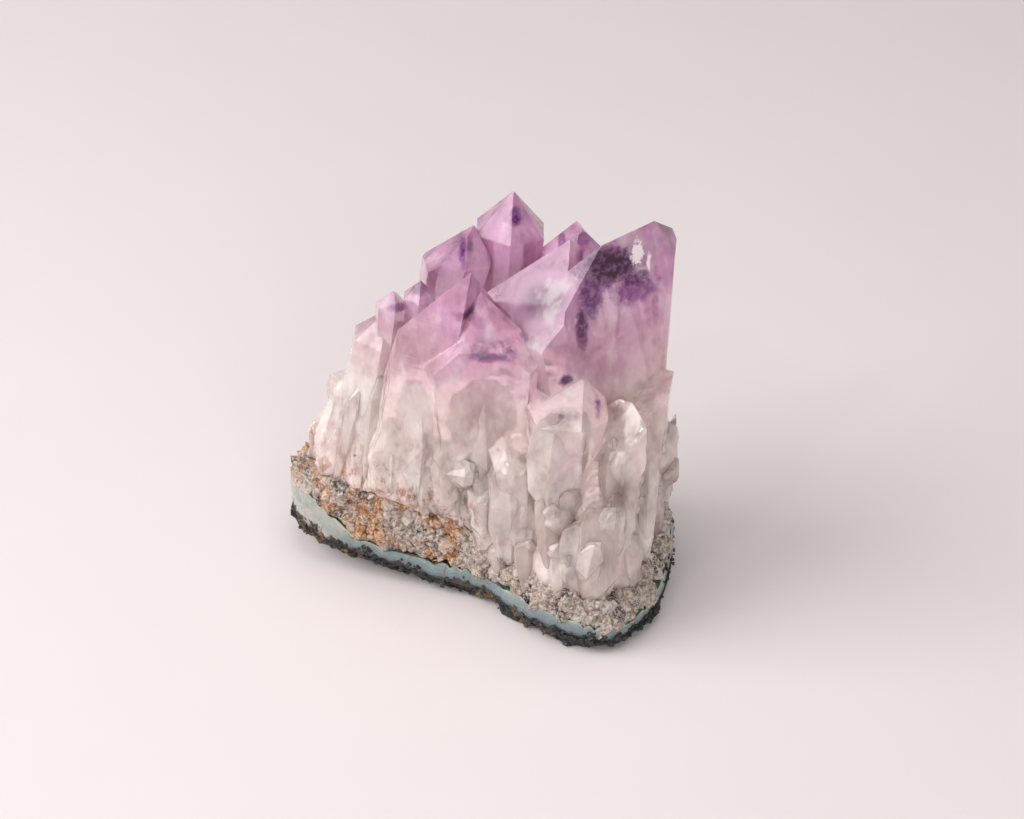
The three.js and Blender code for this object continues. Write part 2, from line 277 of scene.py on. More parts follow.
class Finish:
    """A material under construction. node() adds any node: its type, its settings, then its sockets' values."""

    def __init__(self, name):
        self.material = bpy.data.materials.new(name)
        self.material.use_nodes = True
        self.tree = self.material.node_tree
        self.tree.nodes.clear()
        self.output = self.tree.nodes.new("ShaderNodeOutputMaterial")
        place = self.node("TexCoord", out="Object")
        self.place = self.vector("SCALE", place, scale=1 / MM)

    def node(self, kind, settings=(), sockets=(), out=0):
        made = self.tree.nodes.new("ShaderNode" + kind)
        for key, value in dict(settings).items():
            setattr(made, key, value)
        for key, value in dict(sockets).items():
            plug(made.inputs[key], value)
        return Wire(made.outputs[out])

    def vector(self, operation, first, second=None, scale=None):
        sockets = {0: first}
        if second is not None:
            sockets[1] = second
        if scale is not None:
            sockets["Scale"] = scale
        out = "Value" if operation in ("LENGTH", "DOT_PRODUCT", "DISTANCE") else "Vector"
        return self.node("VectorMath", {"operation": operation}, sockets, out)

    def axis(self, letter):
        return self.node("SeparateXYZ", sockets={0: self.place}, out=letter)

    def number(self, name):
        """A number that the piece carries at each of its points."""
        return self.node("Attribute", {"attribute_name": name}, {}, "Fac")

    def noise(self, size, detail=3.0, roughness=0.55, distortion=0.0, stretch=None):
        """Noise from 0 to 1 with lumps of a size in mm; stretch makes it longer along an axis."""
        where = self.vector("DIVIDE", self.place, stretch) if stretch else self.place
        sockets = {"Vector": where, "Scale": 1 / size, "Detail": detail, "Roughness": roughness,
                   "Distortion": distortion}
        return self.node("TexNoise", {}, sockets, "Fac")

    def cells(self, size, feature="F1"):
        """Distance to the middle of the nearest cell, or to its edge; size in mm."""
        return self.node("TexVoronoi", {"feature": feature}, {"Vector": self.place, "Scale": 1 / size}, "Distance")

    def mix(self, share, first, second):
        return self.node("Mix", {"data_type": "RGBA"}, {0: share, 6: first, 7: second}, 2)

    def bump(self, height, distance, strength=1.0):
        sockets = {"Height": height, "Distance": distance * MM, "Strength": strength}
        return self.node("Bump", {}, sockets, "Normal")

    def spot(self, centre, radii, skin, reach=0.45):
        """A soft patch: 1 in the middle of an ellipsoid, 0 at its skin. skin, around 1, makes the edge ragged."""
        away = self.node("VectorMath", {"operation": "MULTIPLY_ADD"}, {
            0: self.place, 1: tuple(1 / r for r in radii), 2: tuple(-c / r for c, r in zip(centre, radii))})
        return (skin - self.vector("LENGTH", away)).between(0.0, reach)

    def done(self, surface, volume=None):
        self.tree.links.new(surface.socket, self.output.inputs["Surface"])
        if volume:
            self.tree.links.new(volume.socket, self.output.inputs["Volume"])
        return self.material


# ---------------------------------------------------------------- finishes
QUARTZ_IOR = 1.544
# Purple zones in the points: centre and radii in mm, how strong, and how dark.
PURPLE = [
    ((23.4, -4.4, 67.0), (9.6, 4.4, 4.8), 1.0, 1.0),
    ((27.6, -3.6, 63.6), (4.4, 3.4, 2.6), 1.0, 0.6),
    ((26.6, -2.8, 61.8), (7.4, 4.4, 3.4), 0.85, 0.15),
    ((19.2, -6.0, 62.6), (3.4, 4.4, 6.0), 0.9, 0.6),
    ((17.8, -8.8, 57.6), (1.5, 3.0, 5.4), 0.9, 0.85),
    ((15.0, -12.0, 48.4), (1.7, 2.6, 1.5), 1.0, 0.6),
    ((20.7, -14.0, 44.6), (1.0, 3.5, 2.4), 1.0, 0.3),
    ((6.8, -7.5, 55.4), (6.0, 4.0, 1.7), 0.75, 0.4),
    ((1.9, -14.0, 55.0), (6.5, 3.0, 1.5), 0.7, 0.0),
    ((-2.6, -9.5, 61.4), (2.4, 4.0, 1.6), 0.8, 1.0),
    ((-14.6, 1.6, 55.2), (2.2, 2.6, 0.9), 0.5, 0.1),
    ((-11.0, 2.7, 58.4), (2.8, 2.5, 1.4), 0.6, 0.6),
    ((-7.0, 9.5, 65.0), (4.5, 4.0, 1.8), 1.0, 0.1),
    ((-3.0, 9.0, 61.0), (1.0, 4.0, 5.6), 1.0, 0.1),
    ((6.4, 13.1, 67.0), (1.4, 3.0, 2.2), 1.0, 0.3),
    ((9.4, 12.0, 61.5), (0.8, 4.0, 4.0), 0.25, 0.0),
    ((21.7, 11.0, 64.4), (2.4, 5.0, 2.6), 1.0, 0.2),
    ((14.4, 10.0, 63.6), (0.9, 5.0, 2.6), 0.7, 0.1),
    ((17.9, 4.0, 67.6), (2.4, 2.5, 1.8), 0.6, 0.2),
    ((16.0, -18.5, 44.6), (4.6, 2.4, 1.0), 0.7, 0.0),
    ((30.7, -3.0, 60.0), (0.9, 4.0, 8.0), 0.5, 0.3),
]
ZONE_REACH = 1.5  # how far a ragged zone can reach, in radii
# Tints of the milky quartz: centre and radii in mm, a colour, and how strong.
TINTS = [
    ((22.0, -8.0, 52.0), (12.0, 9.0, 13.0), (208, 150, 182), 0.9),
    ((11.0, -6.0, 61.5), (9.0, 7.0, 8.5), (124, 88, 114), 0.95),
    ((5.0, 13.0, 64.0), (17.0, 7.0, 10.0), (246, 190, 228), 0.9),
    ((-15.0, 3.0, 56.5), (5.0, 4.5, 4.6), (255, 212, 238), 0.95),
    ((-11.0, -9.0, 52.0), (9.0, 8.0, 11.0), (208, 180, 186), 0.8),
    ((0.2, -13.5, 40.5), (7.6, 5.0, 10.0), (186, 154, 156), 0.7),
    ((-24.0, 0.0, 36.0), (10.0, 9.0, 15.0), (255, 246, 240), 0.9),
    ((15.0, -19.0, 36.0), (5.0, 5.0, 8.0), (238, 212, 216), 0.8),
    ((30.0, -8.0, 34.0), (5.0, 8.0, 12.0), (196, 168, 168), 0.7),
    ((24.8, -17.6, 29.0), (2.8, 4.0, 5.0), (164, 140, 130), 0.8),
    ((23.0, -21.0, 17.0), (5.0, 4.0, 8.0), (232, 208, 198), 0.7),
]
TINT_REACH = 1.3
SLOPING_FACE = ((11.0, -6.0, 61.5), (9.0, 7.0, 8.5))  # more cloud there
COMBED_FACE = ((-10.0, -8.5, 53.0), (10.0, 8.0, 11.0))  # stronger growth lines there
CHIPPED = [((27.4, -2.2, 68.2), (1.6, 2.4, 3.0)), ((29.4, -2.2, 66.4), (0.6, 2.4, 2.8))]  # white patches


def quartz(name, clear_low, clear_high, stained, top=80):
    """Quartz that is milky in its columns and clear and purple at its points. clear_low and clear_high are the
    clear shares at the foot and at the points; stained is how much rust there is in the left side's foot.
    Patches that begin above top, in mm, are left out."""
    m = Finish(name)
    height = m.axis("Z")
    broad = m.noise(9.0, 3.0)
    wisps = m.noise(4.5, 3.0, 0.6, stretch=(1, 1, 1.8))
    fine = m.noise(0.7, 4.0, 0.62)
    tips = (height + (broad - 0.5) * 16.0).between(38.0, 62.0)
    body = m.mix(tips, shade(250, 233, 226), shade(232, 180, 218))
    drift = (broad - 0.5) * 0.6 + 1.0
    for centre, radii, colour, strength in TINTS:
        if centre[2] - radii[2] * TINT_REACH < top:
            body = m.mix(m.spot(centre, radii, drift, 0.8) * strength, body, shade(*colour))
    body = m.mix(wisps.between(0.50, 0.66) * 0.4, body, shade(242, 236, 233))
    body = m.mix(wisps.between(0.46, 0.34) * 0.22, body, shade(186, 160, 164))
    torn = m.noise(1.8, 4.0, 0.6) + 0.5
    violet, dark = 0.0, 0.0
    for centre, radii, strength, darkness in PURPLE:
        if centre[2] - radii[2] * ZONE_REACH < top:
            patch = m.spot(centre, radii, torn, 0.6) * strength
            violet = patch.larger(violet)
            if darkness:
                dark = (patch * darkness).larger(dark)
    patchy = m.noise(1.1, 4.0, 0.65).between(0.3, 0.58, 0.45, 1.0)
    violet, dark = violet * patchy, dark * patchy
    body = m.mix(violet, body, shade(120, 24, 140))
    body = m.mix(dark, body, shade(54, 0, 34))
    # Each block and wedge is made lighter or darker at random by its tone: painted light and shade, standing in for
    # facets that refract and reflect different surroundings.
    tone = m.number("tone")
    body = m.mix((0.5 - tone).larger(0.0) * 0.9, body, shade(160, 132, 126))
    body = m.mix((tone - 0.5).larger(0.0) * 0.9, body, shade(250, 242, 236))
    chipped = (fine - 0.5) * 1.6 + 1.0
    flaw = m.spot(*CHIPPED[0], chipped).larger(m.spot(*CHIPPED[1], chipped))
    body = m.mix(flaw, body, shade(255, 240, 242))
    foot = 1.0 - (height + (wisps - 0.5) * 18.0).between(17.0, 33.0)
    left = 1.0 - m.axis("X").between(-3.0, 3.0)
    veins = m.noise(1.6, 4.0, 0.72, stretch=(1, 1, 1.6)).between(0.50, 0.60)
    body = m.mix(foot * left * veins * stained, body, shade(176, 118, 70))
    glass = m.mix(violet, m.mix(tips, shade(252, 249, 249), shade(246, 218, 242)), shade(160, 64, 186))
    glass = m.mix(0.25, glass, body)
    lines = m.noise(0.65, 1.0, 0.5, 0.0, stretch=(35, 35, 1))
    combed = m.spot(*COMBED_FACE, 1.0) * 0.115 + 0.012
    relief = m.bump(m.noise(2.6, 2.0) * 0.05 + fine * 0.015 + lines * combed, 1.0)
    clear = m.node("BsdfPrincipled", {}, {
        "Base Color": glass, "Roughness": fine.between(0.4, 0.75, 0.03, 0.20), "IOR": QUARTZ_IOR,
        "Transmission Weight": 1.0, "Normal": relief})
    milky = m.node("BsdfPrincipled", {"subsurface_method": "RANDOM_WALK"}, {
        "Base Color": body, "Roughness": fine.between(0.3, 0.8, 0.06, 0.30), "IOR": QUARTZ_IOR,
        "Coat Weight": tips.between(0.0, 1.0, 0.7, 0.15), "Coat Roughness": 0.04, "Subsurface Weight": 0.42,
        "Subsurface Radius": (1.0, 0.85, 0.9), "Subsurface Scale": 0.8 * MM, "Normal": relief})
    streaks = (wisps - 0.5) * 1.1 + (broad - 0.5) * 0.5
    cloud = (streaks + tips.between(0.0, 1.0, 1.0 - clear_low, 1.0 - clear_high)).larger(violet * 0.70 + dark * 0.6)
    cloud = cloud.larger(flaw).larger(m.spot(*SLOPING_FACE, drift) * 0.85)
    surface = m.node("MixShader", {}, {0: cloud.larger(0.12).smaller(0.97), 1: clear, 2: milky})
    volume = m.node("VolumeAbsorption", {}, {"Color": (0.93, 0.72, 0.88, 1.0), "Density": 30.0})
    return m.done(surface, volume)


def cloud_finish(name, colour, thickest, lump, painted_glow=0.0):
    """What is sealed in the quartz: thin cloud, or purple, that comes and goes in lumps and fades at its rim.
    painted_glow is a painted glow in its own colour.
    """
    m = Finish(name)
    rim = m.number("fade")
    torn = m.noise(lump, 3.0, 0.62).between(0.38, 0.62)
    # Emission in the cloud's own colour is painted light: a glow that stands in for light scattered inside the
    # quartz.
    return m.done(m.node("BsdfPrincipled", {}, {
        "Base Color": colour, "Roughness": 0.7, "Specular IOR Level": 0.1, "Alpha": rim * torn * thickest,
        "Emission Color": colour, "Emission Strength": painted_glow}))


def basalt_finish():
    m = Finish("basalt")
    grain = m.noise(0.8, 6.0, 0.7)
    patches = m.noise(3.5, 4.0, 0.6)
    colour = m.mix(grain.between(0.35, 0.65), shade(22, 25, 27), shade(70, 74, 72))
    colour = m.mix(patches.between(0.52, 0.62) * grain.between(0.4, 0.55), colour, shade(132, 104, 78))
    colour = m.mix(m.cells(0.7).between(0.16, 0.1) * m.noise(2.0).between(0.5, 0.6), colour, shade(196, 186, 170))
    colour = m.mix(m.noise(1.4, 3.0).between(0.64, 0.7) * 0.7, colour, shade(70, 96, 66))
    relief = m.bump(grain, 0.25, 0.9)
    surface = m.node("BsdfPrincipled", {}, {
        "Base Color": colour, "Roughness": grain.between(0.3, 0.7, 0.45, 0.85), "Normal": relief})
    return m.done(surface)


def agate_finish():
    """Bands that follow the band attribute, 0 at the foot of the agate and 1 at its scalloped upper edge."""
    m = Finish("agate")
    band = m.number("band")
    warp = (m.noise(3.0, 3.0) - 0.5) * 0.22
    level = band + warp
    colour = m.mix(level.between(0.05, 0.45), shade(70, 88, 104), shade(126, 140, 146))
    colour = m.mix(level.between(0.45, 0.85), colour, shade(144, 158, 158))
    lines = ((level * 34.0).sine() * 0.5 + 0.5) * m.noise(5.0).between(0.4, 0.6)
    colour = m.mix(lines * 0.22, colour, shade(170, 186, 184))
    left = 1.0 - (m.axis("X") + (m.noise(4.0) - 0.5) * 6.0).between(-29.0, -22.0)
    pale = m.mix(m.noise(2.5, 4.0).between(0.4, 0.65), shade(194, 188, 180), shade(160, 170, 164))
    pale = m.mix(m.noise(1.8, 3.0, 0.5, 0.0, stretch=(2, 2, 1)).between(0.62, 0.7) * 0.6, pale,
                 shade(196, 140, 110))
    colour = m.mix(left * 0.85, colour, pale)
    edge = band.between(0.80, 0.93)
    colour = m.mix(edge * 0.8, colour, shade(190, 198, 172))
    colour = m.mix(band.between(0.955, 0.975), colour, shade(52, 78, 66))
    crack = m.cells(9.0, "DISTANCE_TO_EDGE").between(0.02, 0.006)
    colour = m.mix(crack * m.noise(6.0).between(0.45, 0.6) * 0.8, colour, shade(150, 96, 54))
    foot = (band + (m.noise(2.8, 4.0, 0.65) - 0.5) * 1.5).between(0.22, 0.12)
    colour = m.mix(foot, colour, m.mix(m.noise(0.7, 4.0), shade(26, 28, 30), shade(104, 88, 70)))
    surface = m.node("BsdfPrincipled", {}, {
        "Base Color": colour, "Roughness": m.noise(1.0, 4.0).between(0.3, 0.7, 0.16, 0.36) + foot * 0.4,
        "Subsurface Weight": 0.35, "Subsurface Radius": (0.8, 0.9, 1.0), "Subsurface Scale": 1.0 * MM,
        "Normal": m.bump(m.noise(0.9, 4.0), 0.08, 0.6)})
    return m.done(surface)


def druse_finish():
    m = Finish("druse")
    sugar = m.noise(0.55, 5.0, 0.7)
    patches = m.noise(4.5, 4.0, 0.6, 0.6)
    colour = m.mix(sugar.between(0.3, 0.7), shade(124, 110, 100), shade(224, 208, 196))
    grey = m.noise(5.0, 3.0).between(0.5, 0.62) * sugar.between(0.62, 0.42)
    colour = m.mix(grey, colour, shade(48, 50, 52))
    left = 1.0 - (m.axis("X") + (patches - 0.5) * 14.0).between(-4.0, 4.0)
    rust = patches.between(0.44, 0.58) * (left * 0.85 + 0.12)
    colour = m.mix(rust, colour, m.mix(sugar.between(0.35, 0.65), shade(136, 86, 46), shade(226, 178, 136)))
    tone = m.number("tone")
    colour = m.mix(tone.between(0.6, 1.0) * 0.6, colour, shade(226, 218, 214))
    surface = m.node("BsdfPrincipled", {}, {
        "Base Color": colour, "Roughness": sugar.between(0.3, 0.7, 0.08, 0.45), "IOR": QUARTZ_IOR,
        "Coat Weight": 0.4, "Coat Roughness": 0.05, "Subsurface Weight": 0.25,
        "Subsurface Radius": (1.0, 0.9, 0.85), "Subsurface Scale": 1.0 * MM, "Normal": m.bump(sugar, 0.12, 0.8)})
    return m.done(surface)


def floor_finish():
    m = Finish("pale table")
    colour = m.mix(m.noise(40.0, 3.0), shade(240, 231, 231), shade(243, 235, 235))
    return m.done(m.node("BsdfPrincipled", {}, {"Base Color": colour, "Roughness": 0.75}))


# ---------------------------------------------------------------- the crust
def scallops(turn, seed):
    """Rounded bumps in a row, as agate grows: the root of a sine's size, with steps of uneven width."""
    phase = math.pi * 40 * turn + 1.6 * np.sin(2 * math.pi * 7 * turn + seed) + np.sin(2 * math.pi * 13 * turn)
    return np.sqrt(np.abs(np.sin(phase)))


def basalt_points(rim):
    """Rows from the middle of the underside out to the rim, up its edge and back in under the agate."""
    out = np.linspace(0.04, 0.94, 30)[:, None]
    under = rim[None, :, 2] * smooth(out, FOOT_SHARE, 1)
    rise = np.linspace(0, 1, 14)[1:, None]
    foot, top = rim[None, :, 2] * smooth(0.94, FOOT_SHARE, 1), layer_top(0, rim, 1.0)[None]
    edge_out = 0.94 + 0.06 * np.sin(rise * math.pi / 2)
    edge = foot + (top - foot) * rise
    back = np.linspace(0.98, 0.05, 8)[:, None]
    over = layer_top(0, rim[None], back)
    share = np.vstack([out, edge_out, back]) * np.ones(rim.shape[0])
    return share, np.vstack([under, edge, over])


def lay(share, height, rim):
    """Grid points from shares of the way out and heights."""
    plan = MIDDLE + (rim[None, :, :2] - MIDDLE) * share[..., None]
    return np.concatenate([plan, height[..., None]], -1)


COLUMNS = 640
turns = np.arange(COLUMNS) / COLUMNS
around = rim_at(turns)

# Basalt: two sizes of lumps and pits, pressed inward only, so that it stays inside its own outline.
share, height = basalt_points(around)
points = lay(share, height, around)
pits = 0.75 * rough(points, 4.0, 11) + 0.5 * rough(points, 1.3, 21) - 0.7
exposed = smooth(share, 0.35, 0.8)
points = points + outward(points) * (pits * exposed)[..., None]
points[..., 2] = np.maximum(points[..., 2], 0)
basalt_look = basalt_finish()
basalt = ring_body("basalt_rind", points, basalt_look)
basalt_laid, basalt_out = points, outward(points)
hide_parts("basalt_crust")

# Agate: a smooth band with a scalloped upper edge.
AGATE_SUNK = 0.25  # how far the agate's foot reaches down behind the basalt, in mm
AGATE_ROWS = (6, 22, 8)  # rows under the band, on it, and on its top
bumps = scallops(turns, 0.5)
low, high = layer_top(0, around, 1.0) - AGATE_SUNK, layer_top(1, around, 1.0) - 0.9 + 1.3 * bumps
inner = np.linspace(0.1, 0.97, AGATE_ROWS[0])[:, None]
rise = np.linspace(0, 1, AGATE_ROWS[1])[:, None]
back = np.linspace(0.965, 0.1, AGATE_ROWS[2])[:, None]
swell = 0.985 + 0.012 * np.sin(math.pi * rise) ** 0.5 - 0.006 * rise ** 3
share = np.vstack([inner, swell, back]) * np.ones(COLUMNS)
share[AGATE_ROWS[0]:AGATE_ROWS[0] + AGATE_ROWS[1]] += 0.008 * (bumps - 0.6) * rise
height = np.vstack([layer_top(0, around[None], inner) - AGATE_SUNK, low + (high - low) * rise,
                    layer_top(1, around[None], back) + (high - layer_top(1, around, 1.0)) * smooth(back, 0.8, 1)])
points = lay(share, height, around)
waves = 0.28 * rough(points, 6.0, 31, 2) + 0.10 * rough(points, 1.5, 35, 2) - 0.25
points = points + outward(points) * (waves * smooth(share, 0.8, 0.95))[..., None]
agate = ring_body("agate_rind", points, agate_finish())
band = np.vstack([np.zeros_like(inner), rise, np.ones_like(back)]) * np.ones(COLUMNS)
attribute(agate, "band", np.append(band.ravel(), [0, 1]))
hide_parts("agate_band")

# Druse: a broken slope, lumpy, with its foot behind the agate's edge.
DRUSE_ROWS = 46
DRUSE_INNER_ROWS = 5
DRUSE_SUNK = 1.3
low, high = layer_top(1, around, 1.0) - DRUSE_SUNK, layer_top(2, around, DRUSE_TOP_OUT)
rise = np.linspace(0, 1, DRUSE_ROWS)[:, None]
inner = np.linspace(0.1, 0.93, DRUSE_INNER_ROWS)[:, None]
back = np.linspace(0.885, 0.1, 20)[:, None]
share = np.vstack([inner, 0.965 + (DRUSE_TOP_OUT - 0.965) * rise, back]) * np.ones(COLUMNS)
height = np.vstack([layer_top(1, around[None], inner) - DRUSE_SUNK, low + (high - low) * rise,
                    layer_top(2, around[None], back)])
points = lay(share, height, around)
lumps = 0.9 * rough(points, 4.0, 41) + 0.35 * rough(points, 1.1, 45) - 0.2
points = points + outward(points) * (lumps * smooth(share, 0.5, 0.85) * smooth(height, 0, 2))[..., None]
druse_look = druse_finish()
druse = ring_body("druse_slope", points, druse_look)
attribute(druse, "tone", np.zeros(len(druse.data.vertices)))
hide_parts("druse_crust")
druse_points, druse_out = points, outward(points)


# ---------------------------------------------------------------- small crystals
def small_crystals(name, at, direction, radius, length, seed, finish, foot=0.35, sunk=0.3):
    """Hexagonal points, all at once: two rings of six and an apex, placed by three vectors each, with every corner
    moved a little. at, direction: (n, 3). radius, length: (n,) in mm. foot is the lower ring's share of the radius,
    sunk the share of the length that is pressed in."""
    draw = np.random.default_rng(seed)
    count = len(at)
    angle = np.arange(6) * math.pi / 3
    template = np.array([[foot * math.cos(a), foot * math.sin(a), 0.0] for a in angle]
                        + [[math.cos(a), math.sin(a), 0.62] for a in angle] + [[0.0, 0.0, 1.0]])
    shape = np.tile(template, (count, 1, 1))
    shape[:, :12, :2] *= draw.uniform(0.72, 1.2, (count, 12, 1))
    shape[:, 6:12, 2] += draw.uniform(-0.14, 0.1, (count, 6))
    shape[:, 12, :2] += draw.uniform(-0.35, 0.35, (count, 2))
    axis = direction / np.linalg.norm(direction, axis=1, keepdims=True)
    any_side = draw.normal(size=(count, 3))
    side = np.cross(axis, any_side)
    side /= np.linalg.norm(side, axis=1, keepdims=True)
    other = np.cross(axis, side)
    squeeze = draw.uniform(0.6, 1.0, (count, 1))
    world = (at[:, None] + side[:, None] * shape[..., :1] * (radius[:, None] * squeeze)[..., None]
             + other[:, None] * shape[..., 1:2] * radius[:, None, None]
             + axis[:, None] * (shape[..., 2:] - sunk) * length[:, None, None])
    ring = np.arange(6)
    after = (ring + 1) % 6
    sides = np.stack([ring, after, after + 6, ring + 6], -1).tolist()
    caps = np.stack([ring + 6, after + 6, np.full(6, 12)], -1).tolist()
    one = sides + caps + [[5, 4, 3, 2, 1, 0]]
    faces = [[corner + 13 * k for corner in face] for k in range(count) for face in one]
    made = piece(name, world.reshape(-1, 3), faces, finish, smooth_faces=False)
    attribute(made, "tone", np.repeat(draw.uniform(0, 1, count), 13))
    return made


# Crumbs of basalt on its edge, some of them up on the foot of the agate.
draw = np.random.default_rng(5)
CRUMBS = 3200
row = draw.integers(22, 44, CRUMBS)
column = draw.integers(0, COLUMNS, CRUMBS)
at = basalt_laid[row, column] + [0, 0, 0.3]
climb = np.maximum(0, rough(at, 7.0, 55, 2)) * draw.uniform(0, 4.5, CRUMBS) * (row > 36)
at = at + climb[:, None] * [0, 0, 1] - basalt_out[row, column] * 0.3
size = draw.gamma(2.0, 0.12, CRUMBS) + 0.16
small_crystals("basalt_crumbs", at, basalt_out[row, column] + draw.normal(size=(CRUMBS, 3)) * 0.6, size,
               size * draw.uniform(1.0, 1.8, CRUMBS), 6, basalt_look, foot=0.9, sunk=0.55)

# Grains of quartz on the druse's slope.
draw = np.random.default_rng(7)
GRAINS = 4600
row = draw.integers(DRUSE_INNER_ROWS + 8, DRUSE_INNER_ROWS + DRUSE_ROWS + 2, GRAINS)
column = draw.integers(0, COLUMNS, GRAINS)
at = druse_points[row, column]
direction = druse_out[row, column] + draw.normal(size=(GRAINS, 3)) * 0.45 + [0, 0, 0.35]
size = draw.gamma(2.2, 0.22, GRAINS) + 0.28
small_crystals("druse_grains", at, direction, size, size * draw.uniform(1.5, 2.6, GRAINS), 8, druse_look,
               foot=0.8, sunk=0.45)


# ---------------------------------------------------------------- the crystals
def fine_copy(source, longest):
    """A node's mesh, merged and cut into triangles whose edges are no longer than a length in mm."""
    tool = bmesh.new()
    tool.from_mesh(source.data)
    bmesh.ops.remove_doubles(tool, verts=tool.verts, dist=0.02 * MM)
    bmesh.ops.dissolve_limit(tool, angle_limit=math.radians(0.5), verts=tool.verts, edges=tool.edges)
    bmesh.ops.triangulate(tool, faces=tool.faces)
    for _ in range(9):
        long_edges = [e for e in tool.edges if e.calc_length() > longest * MM]
        if not long_edges:
            break
        bmesh.ops.subdivide_edges(tool, edges=long_edges, cuts=1)
        bmesh.ops.triangulate(tool, faces=tool.faces)
    mesh = bpy.data.meshes.new("amethyst_points")
    tool.to_mesh(mesh)
    tool.free()
    return mesh


def eased(points, edges, amount, times):
    """Each point moved a share of the way to the middle of its neighbours, which rounds the edges off."""
    for _ in range(times):
        total, count = np.zeros_like(points), np.zeros(len(points))
        for near, far in ((0, 1), (1, 0)):
            np.add.at(total, edges[:, near], points[edges[:, far]])
            np.add.at(count, edges[:, near], 1)
        points = points + (total / count[:, None] - points) * amount[:, None]
    return points


LONGEST_EDGE = 0.88
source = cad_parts["amethyst_crystals"]
mesh = fine_copy(source, LONGEST_EDGE)
count = len(mesh.vertices)
points, normals, edges = np.empty(count * 3), np.empty(count * 3), np.empty(len(mesh.edges) * 2, np.int32)
mesh.vertices.foreach_get("co", points)
mesh.vertices.foreach_get("normal", normals)
mesh.edges.foreach_get("vertices", edges)
points, normals, edges = points.reshape(-1, 3) / MM, normals.reshape(-1, 3), edges.reshape(-1, 2)
# The broken foot is blocky: it fades out between two heights. The faces above stay flat.
low = 1 - smooth(points[:, 2] + 5 * noise(points, 9, 60), 26, 46)
points = eased(points, edges, 0.6 * low, 2)
stretched = points / [1, 1, 1.5]
lumps, lump_tone = blocks(stretched, 6.5, 61)
chips, chip_tone = blocks(stretched, 2.4, 95)
points = points + normals * (low * (2.6 * (lumps - 0.45) + 0.7 * (chips - 0.45)))[:, None]
mesh.vertices.foreach_set("co", held(points * MM).ravel())
mesh.materials.clear()
mesh.materials.append(quartz("quartz", 0.36, 0.52, 1.0))
mesh.polygons.foreach_set("use_smooth", [True] * len(mesh.polygons))
mesh.set_sharp_from_angle(angle=math.radians(14))
points_piece = bpy.data.objects.new("amethyst_points", mesh)
# The tone of each block, which the quartz finish turns into painted light and shade.
attribute(points_piece, "tone", 0.5 + low * (0.28 * lump_tone + 0.22 * chip_tone))
bpy.context.scene.collection.objects.link(points_piece)
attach(points_piece, "root")
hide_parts("amethyst_crystals")

# The widths along a wedge: a share of its length from its narrow low end, and a share of its radius.
WEDGE = np.array([(0, 0.20), (0.06, 0.50), (0.28, 0.84), (0.58, 1.0), (0.84, 0.88), (1.0, 0.40)])


def wedges(name, low, high, radius, seed, finish, sides=7, uneven=0.16):
    """Columns that are narrow at their low ends: rings carried from low to high, as wide as WEDGE says, flattened
    towards the middle of the piece, with every corner moved a little."""
    draw = np.random.default_rng(seed)
    count, rings = len(low), len(WEDGE)
    axis = high - low
    length = np.linalg.norm(axis, axis=1, keepdims=True)
    axis = axis / length
    out = low * [1, 1, 0] - np.append(MIDDLE, 0)
    side = np.cross(axis, out)
    side /= np.linalg.norm(side, axis=1, keepdims=True)
    out = np.cross(side, axis)
    angle = (np.arange(sides) / sides * 2 * math.pi)[None, None] + draw.uniform(0, 1, (count, 1, 1))
    angle = angle + draw.uniform(-0.2, 0.2, (count, 1, sides))
    width = WEDGE[None, :, 1:] * radius[:, None, None] * draw.uniform(1 - uneven, 1 + uneven, (count, rings, sides))
    along = WEDGE[None, :, :1] * length[:, None] + draw.uniform(-uneven, uneven, (count, rings, sides)) * 0.5 * (
        length[:, None] * [[0.1], [0.5], [1], [1], [0.8], [0.3]])
    world = (low[:, None, None] + axis[:, None, None] * along[..., None]
             + side[:, None, None] * (width * np.cos(angle))[..., None]
             - out[:, None, None] * (width * np.sin(angle) * 0.75)[..., None])
    ends = np.stack([world[:, 0].mean(1), world[:, -1].mean(1)], 1)
    world = np.concatenate([world.reshape(count, -1, 3), ends], 1)
    ring = ring_faces(rings, sides).tolist()
    column = np.arange(sides)
    after = (column + 1) % sides
    last = (rings - 1) * sides
    foot = np.stack([after, column, np.full(sides, rings * sides)], -1).tolist()
    head = np.stack([last + column, last + after, np.full(sides, rings * sides + 1)], -1).tolist()
    per = rings * sides + 2
    faces = [[corner + per * k for corner in face] for k in range(count) for face in ring + foot + head]
    made = piece(name, world.reshape(-1, 3), faces, finish, smooth_faces=False)
    tool = bmesh.new()
    tool.from_mesh(made.data)
    bmesh.ops.recalc_face_normals(tool, faces=tool.faces)
    tool.to_mesh(made.data)
    tool.free()
    # The tone of each wedge, which the quartz finish turns into painted light and shade.
    attribute(made, "tone", np.repeat(draw.uniform(0, 1, count), per))
    edge = made.modifiers.new("worn edges", "BEVEL")
    edge.width = 0.13 * MM
    edge.segments = 1
    edge.limit_method = "ANGLE"
    edge.angle_limit = math.radians(20)
    return made


